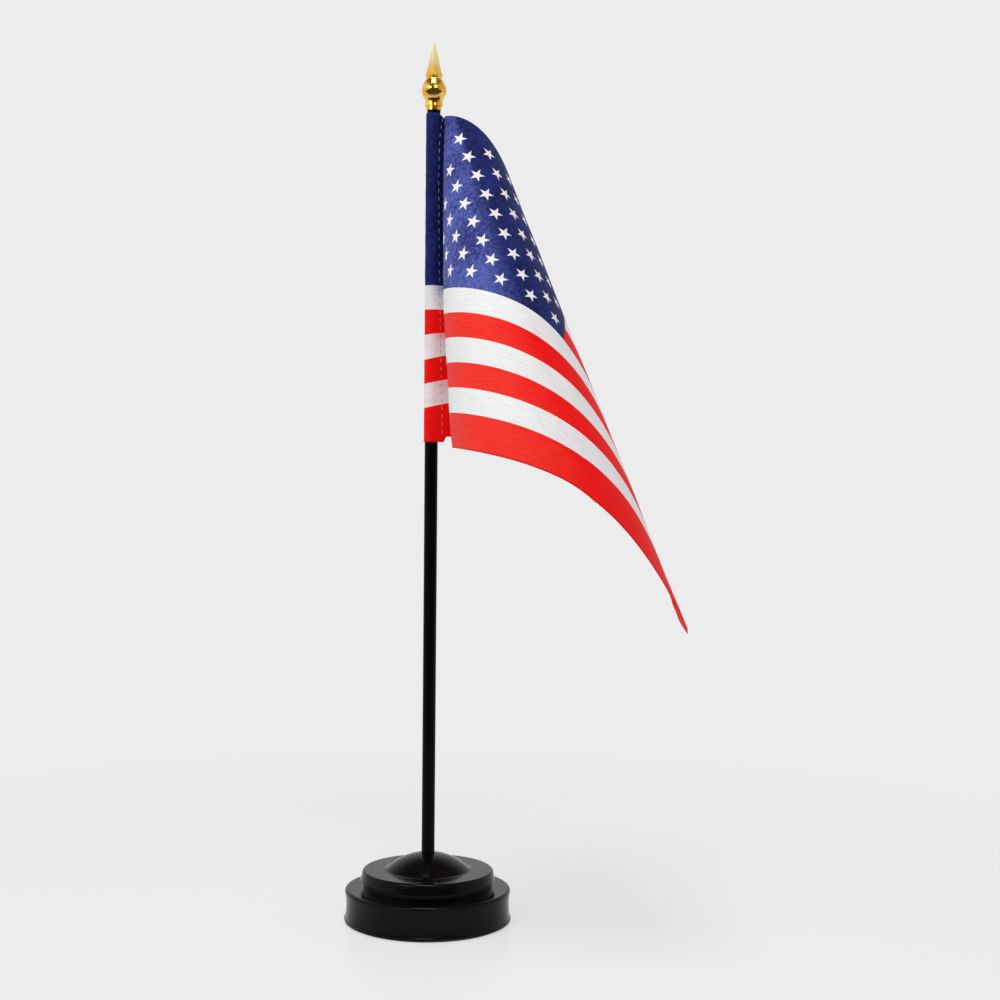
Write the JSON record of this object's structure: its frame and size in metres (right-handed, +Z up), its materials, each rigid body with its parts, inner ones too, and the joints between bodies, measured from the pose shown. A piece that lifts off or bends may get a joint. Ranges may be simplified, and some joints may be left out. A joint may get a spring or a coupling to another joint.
{
  "type": "desk flag stand",
  "caption": "Small draped flag with a sewn sleeve on a slim staff with a spear-and-ball finial, standing in a round weighted two-tier base.",
  "frame": {"origin": "on the staff's axis, at the surface the stand rests on", "axes": "+Z up along the staff, +X to the side the flag flies to, +Y to the back"},
  "size_m": [0.102, 0.1123, 0.2725],
  "materials": {
    "pad_felt": "pressed felt",
    "base_plastic": "high gloss moulded black",
    "weight_steel": "plain punched steel",
    "staff_black": "semi-gloss black",
    "finial_gold": "metallised gold",
    "printed_cloth": "printed woven polyester",
    "sewing_thread": "polyester thread"
  },
  "bodies": {
    "base": {"foot_pad": "pad_felt", "bottom_cover": "base_plastic", "base_weight": "weight_steel", "base_lower_tier": "base_plastic", "base_upper_tier": "base_plastic"},
    "staff": {"pole": "staff_black"},
    "finial": {"spear_finial": "finial_gold"},
    "flag": {"flag_sleeve": "printed_cloth", "flag_cloth": "printed_cloth", "sleeve_stitching": "sewing_thread"}
  },
  "joints": [
    {"name": "pole_lift", "type": "slide", "parent": "base", "child": "staff", "axis": [0, 0, 1], "range_m": [0, 0.02]},
    {"name": "finial_pull", "type": "slide", "parent": "staff", "child": "finial", "axis": [0, 0, 1], "range_m": [0, 0.008]},
    {"name": "flag_turn", "type": "hinge", "parent": "staff", "child": "flag", "pos_m": [0, 0, 0.2], "axis": [0, 0, 1], "continuous": true}
  ]
}
